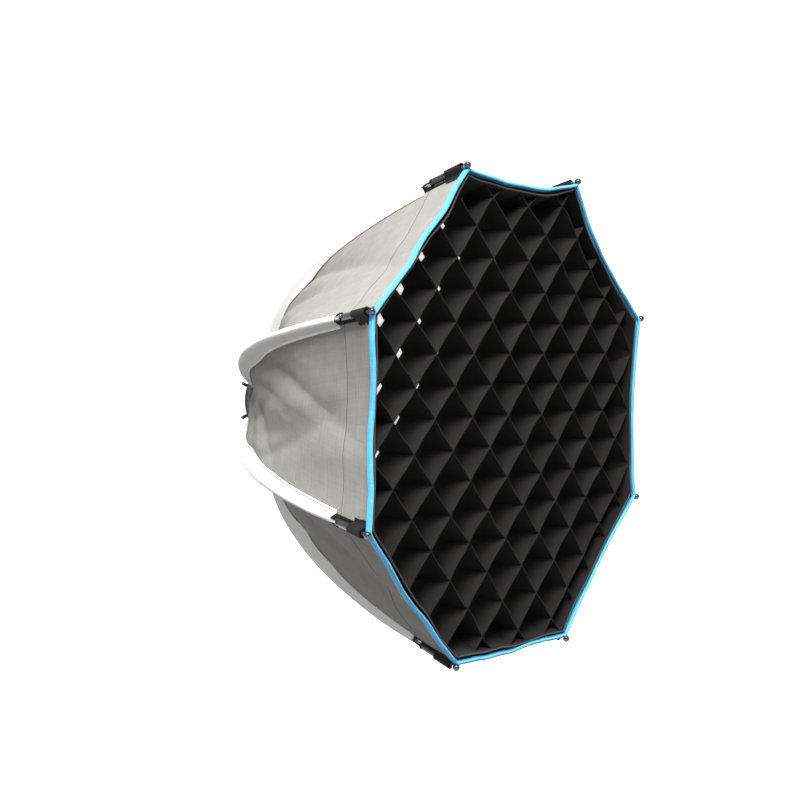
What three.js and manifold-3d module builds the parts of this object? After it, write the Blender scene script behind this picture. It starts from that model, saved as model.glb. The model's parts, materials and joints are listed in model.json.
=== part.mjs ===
// A folding eight-rib octabox: a bayonet mount ring, a hub with eight hinged ribs, a fabric canopy,
// an inner baffle, a front diffuser and a fabric grid.
// Millimetres. The origin is the centre of the mount ring's rear face, +Z is up, and the light
// leaves along -Y. Each rib is drawn in its own plane: X is the radius, Y the depth, Z sideways.
import * as THREE from "three";
import { mergeVertices } from "three/addons/utils/BufferGeometryUtils.js";
import Module from "manifold-3d";

const wasm = await Module();
wasm.setup();

// Driving dimensions
const RIBS = 8;
const RIB_ANGLE = (2 * Math.PI) / RIBS;
const FIRST_RIB = RIB_ANGLE / 2; // so that the octagon stands on a flat side
const DEG = Math.PI / 180;
const GAP = 0.3; // between touching pieces

const TIP = { r: 298, y: -389, ball: 4 }; // centre of the ball that ends each rib
const PIVOT = { r: 41, y: -21 }; // centre of the pin that each rib folds on
const ROOT_SLOPE = 16 * DEG; // how far each rib leans forward where it leaves the hub
const TIP_SLOPE = 18.9 * DEG; // how far its last stretch leans out from the axis

const SOCKET = { start: -5, end: 20, size: 7.4, bore: 2.9, boreStart: 6 };
const ROD = { radius: 2.2, sides: 6, steps: 15 };
const FERRULE = { start: 57, end: 31, radius: 3.5, neck: 1.9 }; // distances back from the ball
const PIN = { radius: 1.5, length: 16, sides: 12 };
const SLOT = { width: 8.4, from: 34.5, y: -13.5 };

const MOUNT = {
  bore: 30,
  seat: 34, // inner radius of the flat seat, and outer radius of the collar
  radius: 44,
  front: -10,
  collar: 3, // height left between the lugs
  lugReach: 7,
  lug: 3.2,
  lugGap: 44,
};
const HUB = { bore: 31, radius: 51, rear: -10.3, front: -34 };
const COVER = { radius: 42.6, thick: 3 };
const SCREW = { ring: 34.6, radius: 1.5, head: 2.6, headHeight: 1.4, length: 9 };
const BUTTON = { r: 47.6, size: 4.6, width: 6.4, top: -6.6, nose: -15, lip: 1.4 };

const FABRIC = { under: 4.2, thick: 1.2, rearRadius: 58, front: -387 };
const BAFFLE = { radius: 165, y: -185, thick: 1.2 };
const DIFFUSER = { radius: 270, y: -334.6, thick: 1.2 };
const GRID = { rear: -336, front: -385.5, clear: 5, wall: 1.4, pitch: 50, nodeX: -17 };

const LOOKS = {
  canopyGrey: { color: 0xa09d98, roughness: 0.85, metalness: 0 },
  blackFabric: { color: 0x17171a, roughness: 0.95, metalness: 0 },
  whiteFabric: { color: 0xf1f0ec, roughness: 0.9, metalness: 0 },
  blackPlastic: { color: 0x1c1c1e, roughness: 0.5, metalness: 0 },
  darkAluminium: { color: 0x3a3a3d, roughness: 0.45, metalness: 0.9 },
  steel: { color: 0x9a9a9c, roughness: 0.35, metalness: 1 },
  blackSteel: { color: 0x161617, roughness: 0.25, metalness: 0.8 },
};

const octabox = new THREE.Group();

function addPiece(parent, name, geometry, look) {
  const mesh = new THREE.Mesh(geometry, new THREE.MeshStandardMaterial(look));
  mesh.name = name;
  parent.add(mesh);
  return mesh;
}

// Solids

function solidOf(geometry) {
  const bare = geometry.clone();
  bare.deleteAttribute("normal");
  bare.deleteAttribute("uv");
  const merged = mergeVertices(bare, 1e-4);
  const vertProperties = new Float32Array(merged.attributes.position.array);
  const triVerts = new Uint32Array(merged.index.array);
  return new wasm.Manifold(new wasm.Mesh({ numProp: 3, vertProperties, triVerts }));
}

function geometryOf(solid) {
  const mesh = solid.getMesh();
  const geometry = new THREE.BufferGeometry();
  geometry.setAttribute("position", new THREE.BufferAttribute(mesh.vertProperties, 3));
  geometry.setIndex(new THREE.BufferAttribute(mesh.triVerts, 1));
  const faceted = geometry.toNonIndexed();
  faceted.computeVertexNormals();
  return faceted;
}

function box(x0, x1, y0, y1, z0, z1) {
  const geometry = new THREE.BoxGeometry(x1 - x0, y1 - y0, z1 - z0);
  return geometry.translate((x0 + x1) / 2, (y0 + y1) / 2, (z0 + z1) / 2);
}

// A ring about the Y axis; its section is a closed outline of [radius, y] points.
function turned(outline, sides) {
  const points = outline.map(([r, y]) => new THREE.Vector2(r, y));
  return new THREE.LatheGeometry(points, sides);
}

function ring(inner, outer, y0, y1, sides) {
  return turned([[inner, y0], [outer, y0], [outer, y1], [inner, y1], [inner, y0]], sides);
}

// A rod along Y from y0 to y1, about the axis (x, z).
function post(radius, y0, y1, sides, x = 0, z = 0) {
  return new THREE.CylinderGeometry(radius, radius, y1 - y0, sides).translate(x, (y0 + y1) / 2, z);
}

function turn(geometry, angle) {
  return geometry.clone().rotateY(-angle);
}

function ribAngle(k) {
  return FIRST_RIB + k * RIB_ANGLE;
}

// Everything added to this group is drawn in the plane of rib k.
function ribGroup(k) {
  const group = new THREE.Group();
  group.rotation.y = -ribAngle(k);
  octabox.add(group);
  return group;
}

// The line of a rib, in its own plane

const rootWay = new THREE.Vector3(Math.cos(ROOT_SLOPE), -Math.sin(ROOT_SLOPE), 0);
const tipWay = new THREE.Vector3(Math.sin(TIP_SLOPE), -Math.cos(TIP_SLOPE), 0);
const pivotPoint = new THREE.Vector3(PIVOT.r, PIVOT.y, 0);
const tipPoint = new THREE.Vector3(TIP.r, TIP.y, 0);

function fromPivot(distance) {
  return pivotPoint.clone().addScaledVector(rootWay, distance);
}

function backFromTip(distance) {
  return tipPoint.clone().addScaledVector(tipWay, -distance);
}

// From distance `start` past the pivot to distance `end` short of the ball: straight out of the
// socket, one bow, and straight into the ferrule.
function ribLine(start, end) {
  const bowStart = fromPivot(SOCKET.end);
  const bowEnd = backFromTip(FERRULE.start);
  const line = new THREE.CurvePath();
  if (start < SOCKET.end) line.add(new THREE.LineCurve3(fromPivot(start), bowStart));
  line.add(
    new THREE.CubicBezierCurve3(
      bowStart,
      bowStart.clone().addScaledVector(rootWay, 106),
      bowEnd.clone().addScaledVector(tipWay, -130),
      bowEnd,
    ),
  );
  if (end < FERRULE.start) line.add(new THREE.LineCurve3(bowEnd, backFromTip(end)));
  return line;
}

function circle(radius, sides) {
  const outline = new THREE.Shape();
  for (let i = 0; i < sides; i++) {
    const angle = (2 * Math.PI * (i + 0.5)) / sides;
    const point = [radius * Math.cos(angle), radius * Math.sin(angle)];
    if (i === 0) outline.moveTo(...point);
    else outline.lineTo(...point);
  }
  outline.closePath();
  return outline;
}

function rodGeometry() {
  return new THREE.ExtrudeGeometry(circle(ROD.radius, ROD.sides), {
    steps: ROD.steps,
    bevelEnabled: false,
    extrudePath: ribLine(SOCKET.boreStart + GAP, FERRULE.start + GAP),
  });
}

// Places a piece drawn along +X from the pivot so that it lies along the rib's root.
function alongRoot(geometry) {
  return geometry.rotateZ(-ROOT_SLOPE).translate(PIVOT.r, PIVOT.y, 0);
}

function socketGeometry() {
  const half = SOCKET.size / 2;
  const body = solidOf(box(SOCKET.start, SOCKET.end, -half, half, -half, half));
  const bore = new THREE.CylinderGeometry(SOCKET.bore, SOCKET.bore, 20, 8);
  bore.rotateZ(Math.PI / 2).translate(SOCKET.boreStart + 10, 0, 0);
  const pinHole = new THREE.CylinderGeometry(1.95, 1.95, 20, 12).rotateX(Math.PI / 2);
  return alongRoot(geometryOf(body.subtract(solidOf(bore)).subtract(solidOf(pinHole))));
}

function pinGeometry() {
  const pin = new THREE.CylinderGeometry(PIN.radius, PIN.radius, PIN.length, PIN.sides);
  return pin.rotateX(Math.PI / 2).translate(PIVOT.r, PIVOT.y, 0);
}

// Ferrule, neck and ball in one, drawn along Y with the ball's centre at 0.
function tipGeometry() {
  const outline = [
    [0, -TIP.ball],
    [TIP.ball * 0.7, -TIP.ball * 0.7],
    [TIP.ball, 0],
    [TIP.ball * 0.7, TIP.ball * 0.7],
    [FERRULE.neck, TIP.ball],
    [FERRULE.neck, FERRULE.end],
    [FERRULE.radius, FERRULE.end + 1],
    [FERRULE.radius, FERRULE.start],
    [0, FERRULE.start],
  ];
  return turned(outline, 9).rotateZ(TIP_SLOPE).translate(TIP.r, TIP.y, 0);
}

// Canopy

// The rib line's points between the hub and the front edge, each with the way into the canopy.
function fabricStations(count) {
  const line = ribLine(-20, -20);
  const dense = line.getSpacedPoints(600);
  const kept = dense.filter((p) => p.x >= FABRIC.rearRadius && p.y >= FABRIC.front);
  return Array.from({ length: count + 1 }, (_, i) => {
    const at = Math.round((i * (kept.length - 1)) / count);
    const before = kept[Math.max(at - 1, 0)];
    const after = kept[Math.min(at + 1, kept.length - 1)];
    const way = after.clone().sub(before).normalize();
    return { point: kept[at], inward: new THREE.Vector3(way.y, -way.x, 0) };
  });
}

// Across one panel: the seam with the panel before, the rib, and the seam with the panel after.
function acrossPanel(station, depth) {
  const ridge = station.point.clone().addScaledVector(station.inward, depth);
  const chord = ridge.x * 2 * Math.sin(RIB_ANGLE / 2);
  const half = (chord - GAP) / 2;
  const x = ridge.x - half * Math.sin(RIB_ANGLE / 2);
  const z = half * Math.cos(RIB_ANGLE / 2);
  return [
    new THREE.Vector3(x, ridge.y, -z),
    ridge,
    new THREE.Vector3(x, ridge.y, z),
  ];
}

// A closed shell between two sheets of points, given row by row.
function shellBetween(outer, inner) {
  const rows = outer.length;
  const columns = outer[0].length;
  const positions = [];
  const quad = (a, b, c, d) => {
    for (const p of [a, c, b, a, d, c]) positions.push(p.x, p.y, p.z);
  };
  for (let i = 0; i < rows - 1; i++) {
    for (let j = 0; j < columns - 1; j++) {
      quad(outer[i][j], outer[i + 1][j], outer[i + 1][j + 1], outer[i][j + 1]);
      quad(inner[i][j], inner[i][j + 1], inner[i + 1][j + 1], inner[i + 1][j]);
    }
  }
  for (let i = 0; i < rows - 1; i++) {
    const last = columns - 1;
    quad(outer[i][0], inner[i][0], inner[i + 1][0], outer[i + 1][0]);
    quad(outer[i][last], outer[i + 1][last], inner[i + 1][last], inner[i][last]);
  }
  for (let j = 0; j < columns - 1; j++) {
    const last = rows - 1;
    quad(outer[0][j], outer[0][j + 1], inner[0][j + 1], inner[0][j]);
    quad(outer[last][j], inner[last][j], inner[last][j + 1], outer[last][j + 1]);
  }
  const geometry = new THREE.BufferGeometry();
  geometry.setAttribute("position", new THREE.Float32BufferAttribute(positions, 3));
  geometry.computeVertexNormals();
  return geometry;
}

function canopyPanelGeometry() {
  const stations = fabricStations(12);
  const outer = stations.map((s) => acrossPanel(s, FABRIC.under));
  const inner = stations.map((s) => acrossPanel(s, FABRIC.under + FABRIC.thick));
  return shellBetween(outer, inner);
}

// Hub

// The seat ring with a grip groove round it, and a bayonet collar cut away to leave three lugs.
function mountRingGeometry() {
  const { bore, seat, radius, front, collar, lugReach, lug, lugGap } = MOUNT;
  const outline = [
    [bore, front],
    [radius, front],
    [radius, -6.4],
    [radius - 2.4, -5.6],
    [radius - 2.4, -3.4],
    [radius, -2.6],
    [radius, 0],
    [seat, 0],
    [seat, lugReach - lug],
    [seat + 2, lugReach - lug],
    [seat + 2, lugReach],
    [bore, lugReach],
    [bore, front],
  ];
  let solid = solidOf(turned(outline, 48));
  const cut = box(0, radius, collar, lugReach + 1, -lugGap / 2, lugGap / 2);
  for (let k = 0; k < 3; k++) {
    solid = solid.subtract(solidOf(turn(cut, (k * 2 * Math.PI) / 3 + 0.05)));
  }
  return geometryOf(solid);
}

function hubBodyGeometry() {
  let solid = solidOf(ring(HUB.bore, HUB.radius, HUB.front, HUB.rear, 48));
  const half = SLOT.width / 2;
  const slot = box(SLOT.from, HUB.radius + 2, HUB.front - 1, SLOT.y, -half, half);
  const pinHole = new THREE.CylinderGeometry(1.95, 1.95, PIN.length + 2 * GAP, 12);
  pinHole.rotateX(Math.PI / 2).translate(PIVOT.r, PIVOT.y, 0);
  const wide = BUTTON.width / 2 + GAP;
  const inner = BUTTON.r - BUTTON.size / 2 - GAP;
  const outer = BUTTON.r + BUTTON.size / 2 + GAP;
  const buttonHole = box(inner, outer, SLOT.y - 1, HUB.rear + 1, -wide, wide);
  for (let k = 0; k < RIBS; k++) {
    for (const cut of [slot, pinHole, buttonHole]) {
      solid = solid.subtract(solidOf(turn(cut, ribAngle(k))));
    }
  }
  for (let k = 0; k < 4; k++) {
    const hole = post(SCREW.radius + GAP, HUB.front - 1, HUB.front + SCREW.length, 10, SCREW.ring);
    solid = solid.subtract(solidOf(turn(hole, (k * Math.PI) / 2)));
  }
  return geometryOf(solid);
}

function hubCoverGeometry() {
  const y1 = HUB.front - GAP;
  const y0 = y1 - COVER.thick;
  const { ring: screwRing, radius, head, headHeight } = SCREW;
  let solid = solidOf(ring(HUB.bore, COVER.radius, y0, y1, 48));
  for (let k = 0; k < 4; k++) {
    const through = post(radius + GAP, y0 - 1, y1 + 1, 10, screwRing);
    const sink = post(head + GAP, y0 - 1, y0 + headHeight + GAP, 12, screwRing);
    for (const cut of [through, sink]) {
      solid = solid.subtract(solidOf(turn(cut, (k * Math.PI) / 2)));
    }
  }
  return geometryOf(solid);
}

function screwGeometry() {
  const y0 = HUB.front - GAP - COVER.thick;
  const { radius, head, headHeight, length } = SCREW;
  const outline = [
    [0, y0],
    [head, y0],
    [head, y0 + headHeight],
    [radius, y0 + headHeight],
    [radius, y0 + length],
    [0, y0 + length],
  ];
  return turned(outline, 10).translate(SCREW.ring, 0, 0);
}

function buttonGeometry() {
  const { r, size, width, top, nose, lip } = BUTTON;
  const inner = r - size / 2;
  const outer = r + size / 2;
  const stem = box(inner, outer, nose, top, -width / 2, width / 2);
  const keeper = box(inner - lip, outer, nose, SLOT.y - GAP, -width / 2, width / 2);
  return geometryOf(solidOf(stem).add(solidOf(keeper)));
}

// Front set

// A flat octagonal sheet whose corners lie on the ribs' planes.
function octagonSheet({ radius, y, thick }) {
  const sheet = new THREE.CylinderGeometry(radius, radius, thick, RIBS);
  return sheet.rotateY(FIRST_RIB).translate(0, y, 0);
}

// The radius of the canopy's inner face at depth y, in the plane of a rib.
function insideRadius(y) {
  const back = (y - TIP.y) / Math.cos(TIP_SLOPE);
  return TIP.r - back * Math.sin(TIP_SLOPE) - (FABRIC.under + FABRIC.thick) / Math.cos(TIP_SLOPE);
}

function gridGeometry() {
  const { rear, front, clear, wall, pitch, nodeX } = GRID;
  const rearRadius = insideRadius(rear) - clear;
  const frontRadius = insideRadius(front) - clear;
  const flare = (frontRadius - rearRadius) / (rear - front);
  // The space inside the canopy's front, `inset` smaller all round and `over` longer at each end.
  const rim = (inset, over) => {
    const top = rearRadius - inset - over * flare;
    const bottom = frontRadius - inset + over * flare;
    const solid = new THREE.CylinderGeometry(top, bottom, rear - front + 2 * over, RIBS);
    return solid.rotateY(FIRST_RIB).translate(0, (rear + front) / 2, 0);
  };
  const border = solidOf(rim(0, 0)).subtract(solidOf(rim(wall, 1)));
  let strips = null;
  for (const way of [1, -1]) {
    const first = (nodeX * way) / Math.SQRT2;
    for (let i = -6; i <= 6; i++) {
      const offset = first + i * pitch;
      const strip = box(-400, 400, front, rear, offset - wall / 2, offset + wall / 2);
      const solid = solidOf(strip.rotateY((way * Math.PI) / 4));
      strips = strips ? strips.add(solid) : solid;
    }
  }
  return geometryOf(strips.intersect(solidOf(rim(wall / 2, 0))).add(border));
}

// Assembly

addPiece(octabox, "mount_ring", mountRingGeometry(), LOOKS.darkAluminium);
addPiece(octabox, "hub_body", hubBodyGeometry(), LOOKS.blackPlastic);
addPiece(octabox, "hub_cover", hubCoverGeometry(), LOOKS.blackPlastic);
for (let k = 0; k < 4; k++) {
  const screw = turn(screwGeometry(), (k * Math.PI) / 2);
  addPiece(octabox, `hub_screw_${k + 1}`, screw, LOOKS.steel);
}
for (let k = 0; k < RIBS; k++) {
  const group = ribGroup(k);
  addPiece(group, `rib_pin_${k + 1}`, pinGeometry(), LOOKS.steel);
  addPiece(group, `rib_socket_${k + 1}`, socketGeometry(), LOOKS.blackPlastic);
  addPiece(group, `rib_rod_${k + 1}`, rodGeometry(), LOOKS.steel);
  addPiece(group, `rib_tip_${k + 1}`, tipGeometry(), LOOKS.blackSteel);
  addPiece(group, `canopy_panel_${k + 1}`, canopyPanelGeometry(), LOOKS.canopyGrey);
  addPiece(group, `release_button_${k + 1}`, buttonGeometry(), LOOKS.blackPlastic);
}
addPiece(octabox, "inner_baffle", octagonSheet(BAFFLE), LOOKS.whiteFabric);
addPiece(octabox, "front_diffuser", octagonSheet(DIFFUSER), LOOKS.whiteFabric);
addPiece(octabox, "grid", gridGeometry(), LOOKS.blackFabric);

export default octabox;
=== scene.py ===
"""The looks of a folding eight-rib octabox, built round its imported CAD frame.

Metres, in the CAD's own frame: the origin is the centre of the mount's rear face, +Z is up and the
open front faces -Y. Rib k lies in the plane at rib_angle(k) about the Y axis. In that plane a point
is (radius, y), and its distance sideways from the plane is called across.
"""

import json
import math

import bpy
import numpy as np
from mathutils import Matrix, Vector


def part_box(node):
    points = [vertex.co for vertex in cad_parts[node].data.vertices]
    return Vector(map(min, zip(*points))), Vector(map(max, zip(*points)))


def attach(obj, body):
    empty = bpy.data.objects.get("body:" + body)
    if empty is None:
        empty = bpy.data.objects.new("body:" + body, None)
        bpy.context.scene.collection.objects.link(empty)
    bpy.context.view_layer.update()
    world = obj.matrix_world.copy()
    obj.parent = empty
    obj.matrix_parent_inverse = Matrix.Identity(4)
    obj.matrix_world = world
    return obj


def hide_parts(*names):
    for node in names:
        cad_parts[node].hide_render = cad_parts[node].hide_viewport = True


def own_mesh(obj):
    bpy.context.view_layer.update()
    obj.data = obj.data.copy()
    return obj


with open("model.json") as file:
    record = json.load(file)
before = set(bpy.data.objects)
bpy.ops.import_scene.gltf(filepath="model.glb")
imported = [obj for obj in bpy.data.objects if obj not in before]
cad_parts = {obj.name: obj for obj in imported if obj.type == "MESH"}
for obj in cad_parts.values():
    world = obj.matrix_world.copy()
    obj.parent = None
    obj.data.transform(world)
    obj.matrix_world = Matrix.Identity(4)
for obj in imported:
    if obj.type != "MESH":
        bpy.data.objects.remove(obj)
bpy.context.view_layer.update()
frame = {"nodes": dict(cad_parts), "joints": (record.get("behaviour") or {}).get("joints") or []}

MM = 0.001
RIBS = 8
RIB_STEP = 2 * math.pi / RIBS
FIRST_RIB = RIB_STEP / 2
FOLD = {j["name"]: j for j in frame["joints"]}["rib_1_fold"]
FOLD_ANGLE = math.radians(FOLD["range_deg"][1])

# The rib's line, as the CAD has it
PIVOT = np.array([math.hypot(FOLD["pos_m"][0], FOLD["pos_m"][2]), FOLD["pos_m"][1]])
TIP = np.array([298, -389]) * MM
BALL = 4 * MM
ROOT_SLOPE = math.radians(16)
TIP_SLOPE = math.radians(18.9)
ROOT_WAY = np.array([math.cos(ROOT_SLOPE), -math.sin(ROOT_SLOPE)])
TIP_WAY = np.array([math.sin(TIP_SLOPE), -math.cos(TIP_SLOPE)])
SOCKET_END = 20 * MM
FERRULE_START = 57 * MM
BOW_REACH = (106 * MM, 130 * MM)
ROD_RADIUS = 2.2 * MM

# The canopy: how far it lies under the ribs' line, its thickness, where it starts along a rib, and
# how far its front edge is from the ball, hollows and waves. LOOSEST is the gore that waves most.
UNDER = 4.2 * MM
CLOTH = 0.8 * MM
CANOPY_START = 16.5 * MM
EDGE_BACK = 2.5 * MM
EDGE_HOLLOW = 5 * MM
EDGE_WAVE = 2.4 * MM
LOOSEST = 2.5
SAG = 5 * MM
DROOP = 5 * MM

# Its folds, as where each starts along the rib and how steeply it slants, both as shares
FOLD_SIZE = 7.5 * MM
FOLDS = ((0, 0.7), (0, 1.6), (0, 2.8), (0.32, 0.9))
FOLD_WIDTHS = (0.04, 0.055)
FOLD_REACH = 0.6
SLACK_WAVES = 3.0 * MM
SMALL_WAVES = 1.0 * MM
FINE_WAVES = 0.12 * MM
CALM_BY_HUB = 0.1

# The line of stitches round it, and the mesh's fineness
SEAM_BACK = 56 * MM
SEAM_WIDTH = 2 * MM
SEAM_PUCKER = 0.5 * MM
BANDS = 12
ROWS_PER_BAND = 7
HALF_COLUMNS = 22

# The binding's section, as (forward, outward) from the cloth's edge, in millimetres
BINDING_OUTLINE = (
    (-3.5, 0.7),
    (-3.1, 1.4),
    (-1.9, 1.6),
    (-1.0, 0.9),
    (-0.1, 1.5),
    (1.4, 1.6),
    (2.4, 0.9),
    (2.7, -0.2),
    (2.4, -1.4),
    (1.4, -2.2),
    (-3.9, -2.4),
    (-4.4, -1.6),
)

# Half the sleeve's section, as (across, height over the canopy's ridge), in millimetres: the flange
# and then the arch. Past FLANGE_ROOT it starts to follow the canopy beside it, and past FLANGE_INNER
# it follows that fully.
SLEEVE_START = 14 * MM
SLEEVE_OUTLINE = (
    (8.6, -2.9),
    (7.0, -2.6),
    (6.0, -1.4),
    (5.7, 1.6),
    (5.2, 5.0),
    (4.2, 8.4),
    (2.4, 10.8),
    (0, 11.5),
)
FLANGE_EDGE = 8.6 * MM
FLANGE_INNER = 7 * MM
FLANGE_ROOT = 5.2 * MM
FLANGE_HEIGHT = -2.9 * MM
FLANGE_LIFT = 0.9 * MM
SLEEVE_CLOTH = 0.75 * MM
PIPING_RADIUS = 0.95 * MM

# Where the sleeve ends, and the tab's two ends, as distances back from the ball
SLEEVE_END = 68 * MM
TAB = (8 * MM, 32 * MM)

# Half the sections of the tab and of the strip under it, as (across, height), in millimetres
TAB_OUTLINE = ((9.6, -8.0), (8.0, -7.2), (5.6, -5.6), (4.9, -2.4), (5.0, 1.4), (3.7, 4.3), (0, 5.6))
STRIP_OUTLINE = ((4.6, -2.6), (4.6, -1.4), (1.3, 0))
STRIP_FRONT = 5 * MM
STRIP_RISE = 1.6 * MM

# Ferrule and neck, as (distance back from the ball, radius), in millimetres
FERRULE_OUTLINE = (
    (57.0, 0.2),
    (57.0, 3.4),
    (56.4, 4.0),
    (53.8, 4.0),
    (53.5, 3.6),
    (52.7, 3.6),
    (52.4, 4.0),
    (32.0, 4.0),
    (31.0, 2.9),
    (30.8, 2.1),
    (8.0, 2.1),
    (8.0, 0.2),
)
NECK_OUTLINE = ((8.2, 0.2), (8.2, 1.9), (6.0, 1.9), (5.2, 2.3), (3.0, 2.0), (3.0, 0.2))

# The cord loop's line, as (forward of the sleeve's end, across, height), in millimetres
LOOP_LINE = ((-6, 2.6, -0.6), (1, 3.4, 0.4), (7, 4.3, 1.2), (13, 4.2, 1.6), (15, 2.2, 3.8))
LOOP_RADIUS = 0.95 * MM

# Front set. GRID_STRIPS is the most strips to one side of the first, and GRID_LEAST_GAP is as near as
# one may come to the border. The grid is shorter towards its top, from GRID_SHORT_FROM outward. Its
# strips dip and belly between the places where they cross.
GRID_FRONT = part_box("grid")[0].y
GRID_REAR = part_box("grid")[1].y
GRID_PITCH = 50 * MM
GRID_NODE_X = -17 * MM
GRID_WALL = 0.9 * MM
GRID_ROWS = 7
GRID_COLUMNS = 97
GRID_STRIPS = 7
GRID_LEAST_GAP = 8 * MM
GRID_INSET = 5 * MM
GRID_SHORT = 6 * MM
GRID_SHORT_FROM = 120 * MM
GRID_SHORT_BY = 240 * MM
GRID_DIP = 1.3 * MM
GRID_BELLY = 0.7 * MM
BORDER_RISE = 2 * MM
LIP_BACK = 4 * MM
LIP_REACH = 3.4 * MM
DIFFUSER_Y = (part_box("front_diffuser")[0].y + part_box("front_diffuser")[1].y) / 2
DIFFUSER_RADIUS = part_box("front_diffuser")[1].x / math.cos(FIRST_RIB) - 4 * MM
GRID_SPREAD = 275 * MM
BAFFLE_Y = (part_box("inner_baffle")[0].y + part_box("inner_baffle")[1].y) / 2
BAFFLE_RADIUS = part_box("inner_baffle")[1].x / math.cos(FIRST_RIB)
STRAP_OUTLINE = ((4, 0.5), (-4, 0.5), (-4, -0.5), (4, -0.5))

# A release lever's line, as (radius, y), in millimetres
LEVER_LINE = ((47.6, -7.4), (49.2, -6.2), (51.5, -5.2), (55.5, -4.2))
LEVER_RADIUS = 2.2 * MM
LEVER_KNOB = 2.5 * MM

# The camera that took the reference view, about the centre of the ring of rib tips
AZIMUTH = math.radians(-52.4)
ELEVATION = math.radians(2.75)
ROLL = math.radians(1.18)
DISTANCE = 1.8856
SIDE_SHIFT = -0.1373
RISE = 0.0170
LENS = 73.9

# Lights, as place, width and watts, and the dome's colour below and above
KEY_LIGHT = ((-1.35, -1.25, 2.1), 1.4, 290)
FILL_LIGHT = ((-2.6, -0.3, 0.1), 1.6, 18)
DOME_LOW = (0.38, 0.38, 0.385)
DOME_HIGH = (0.95, 0.96, 0.98)
DOME_STRENGTH = 0.72

# The stage's outline, as (radius, height over the floor), and how far its floor is under the hub
STAGE_OUTLINE = ((0, 0), (3, 0), (5, 0.15), (6, 0.8), (6.5, 2), (6.6, 6), (3, 8), (0, 8.3))
FLOOR_DROP = 0.9
STAGE_GLOW = 0.62


# ---------------------------------------------------------------- camera, stage and light


def looking(right, up, back, place):
    """The matrix of a camera or light at that place, with those directions."""
    rows = [[right[i], up[i], back[i], place[i]] for i in range(3)]
    return Matrix([*rows, [0, 0, 0, 1]])


def make_camera():
    """The camera of the reference view."""
    back = np.array(
        [
            math.sin(AZIMUTH) * math.cos(ELEVATION),
            -math.cos(AZIMUTH) * math.cos(ELEVATION),
            math.sin(ELEVATION),
        ]
    )
    level = np.array([math.cos(AZIMUTH), math.sin(AZIMUTH), 0])
    upright = np.cross(back, level)
    right = level * math.cos(ROLL) + upright * math.sin(ROLL)
    up = upright * math.cos(ROLL) - level * math.sin(ROLL)
    place = back * DISTANCE + right * SIDE_SHIFT + up * RISE + np.array([0, TIP[1], 0])
    data = bpy.data.cameras.new("camera")
    data.lens = LENS
    data.sensor_width = 36
    data.clip_end = 100
    camera = bpy.data.objects.new("camera", data)
    camera.matrix_world = looking(right, up, back, place)
    bpy.context.scene.collection.objects.link(camera)
    bpy.context.scene.camera = camera


def area_light(name, place, size, watts):
    """A round light at that place that looks at the middle of the box."""
    data = bpy.data.lights.new(name, "AREA")
    data.shape = "DISK"
    data.size = size
    data.energy = watts
    light = bpy.data.objects.new(name, data)
    place = np.array(place, float)
    target = np.array([0, -0.2, 0])
    back = (place - target) / np.linalg.norm(place - target)
    right = np.cross([0, 0, 1], back)
    right /= np.linalg.norm(right)
    up = np.cross(back, right)
    light.matrix_world = looking(right, up, back, place)
    bpy.context.scene.collection.objects.link(light)


def make_world():
    """A soft dome, brighter above than below."""
    world = bpy.data.worlds.new("studio")
    bpy.context.scene.world = world
    world.use_nodes = True
    tree = world.node_tree
    tree.nodes.clear()
    out = tree.nodes.new("ShaderNodeOutputWorld")
    background = tree.nodes.new("ShaderNodeBackground")
    ramp = tree.nodes.new("ShaderNodeValToRGB")
    split = tree.nodes.new("ShaderNodeSeparateXYZ")
    spread = tree.nodes.new("ShaderNodeMapRange")
    place = tree.nodes.new("ShaderNodeTexCoord")
    spread.inputs["From Min"].default_value = -1
    spread.inputs["From Max"].default_value = 1
    stops = ramp.color_ramp.elements
    stops[0].position, stops[0].color = 0.25, (*DOME_LOW, 1)
    stops[1].position, stops[1].color = 0.75, (*DOME_HIGH, 1)
    tree.links.new(place.outputs["Generated"], split.inputs[0])
    tree.links.new(split.outputs["Z"], spread.inputs["Value"])
    tree.links.new(spread.outputs["Result"], ramp.inputs[0])
    tree.links.new(ramp.outputs[0], background.inputs["Color"])
    tree.links.new(background.outputs[0], out.inputs[0])
    background.inputs["Strength"].default_value = DOME_STRENGTH


def make_stage():
    """A pale floor that curves up into a backdrop all round."""
    verts, faces = turned_mesh(smooth_line(STAGE_OUTLINE, 40), 96)
    verts[:, 2] -= FLOOR_DROP
    mesh = bpy.data.meshes.new("backdrop")
    mesh.from_pydata(verts.tolist(), [], faces)
    mesh.shade_smooth()
    floor = bpy.data.objects.new("backdrop", mesh)
    bpy.context.scene.collection.objects.link(floor)
    material = bpy.data.materials.new("backdrop")
    material.use_nodes = True
    shader = material.node_tree.nodes["Principled BSDF"]
    shader.inputs["Base Color"].default_value = (0.9, 0.9, 0.9, 1)
    shader.inputs["Roughness"].default_value = 0.9
    shader.inputs["Emission Color"].default_value = (1, 1, 1, 1)
    shader.inputs["Emission Strength"].default_value = STAGE_GLOW
    mesh.materials.append(material)
    floor.visible_diffuse = False
    floor.visible_shadow = False


# ---------------------------------------------------------------- lines and meshes


def smooth_line(points, count):
    """A smooth line of count points through the given ones, spaced evenly in their order."""
    points = np.asarray(points, float)
    padded = np.vstack([2 * points[0] - points[1], points, 2 * points[-1] - points[-2]])
    at = np.linspace(0, len(points) - 1 - 1e-9, count)
    i = at.astype(int)
    t = (at - i)[:, None]
    a, b, c, d = (padded[i + n] for n in range(4))
    return 0.5 * (
        2 * b + (c - a) * t + (2 * a - 5 * b + 4 * c - d) * t**2 + (3 * b - a - 3 * c + d) * t**3
    )


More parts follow.
